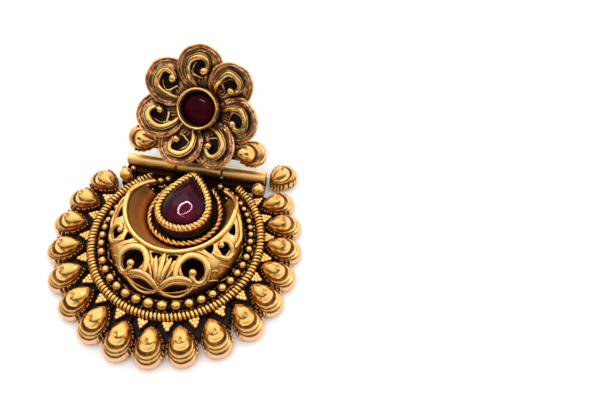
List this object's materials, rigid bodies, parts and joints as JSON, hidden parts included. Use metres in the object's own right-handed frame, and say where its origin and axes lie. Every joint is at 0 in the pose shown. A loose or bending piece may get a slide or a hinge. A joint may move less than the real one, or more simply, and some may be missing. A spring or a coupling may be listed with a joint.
{
  "type": "chandbali earring",
  "caption": "Antique-gold chandbali earring: crescent drop with pierced gallery, wound-wire ring, teardrop fringe and pear cabochon, hinged under a flower stud with a round stone",
  "frame": {"origin": "centre of the drop's flat back, on the surface that it lies on", "axes": "+X to the right as seen from the front, +Y from the drop's foot towards the flower, +Z out of the drop's front"},
  "size_m": [0.0414, 0.0512, 0.0201],
  "materials": {
    "bright_gold": "gold-plated brass, polished on the high spots and darkened in the hollows",
    "aged_gold": "gold-plated brass with a brown antique patina",
    "pin_metal": "plain drawn brass wire",
    "ruby_glass": "polished dark ruby-red glass cabochon, foiled behind"
  },
  "bodies": {
    "drop": {"drop_plate": "aged_gold", "coil_ring": "aged_gold", "bead_row": "bright_gold", "gallery": "bright_gold", "trough": "aged_gold", "pear_bezel": "aged_gold", "bezel_rope": "aged_gold", "pear_stone": "ruby_glass", "hinge_pin": "pin_metal", "rim_drop_01": "bright_gold", "rim_drop_02": "bright_gold", "rim_drop_03": "bright_gold", "rim_drop_04": "bright_gold", "rim_drop_05": "bright_gold", "rim_drop_06": "bright_gold", "rim_drop_07": "bright_gold", "rim_drop_08": "bright_gold", "rim_drop_09": "bright_gold", "rim_drop_10": "bright_gold", "rim_drop_11": "bright_gold", "rim_drop_12": "bright_gold", "rim_drop_13": "bright_gold", "rim_drop_14": "bright_gold", "rim_drop_15": "bright_gold", "rim_drop_16": "bright_gold", "rim_drop_17": "bright_gold", "rim_drop_18": "bright_gold"},
    "stud": {"stud_plate": "aged_gold", "flower": "bright_gold", "flower_bezel": "aged_gold", "round_stone": "ruby_glass", "side_drop_left": "bright_gold", "side_drop_right": "bright_gold", "ear_post": "pin_metal"}
  },
  "joints": [
    {"name": "drop_hinge", "type": "hinge", "parent": "drop", "child": "stud", "pos_m": [-0.00005, 0.0141, 0.0023], "axis": [1, 0, 0], "range_deg": [-80, 20]}
  ]
}
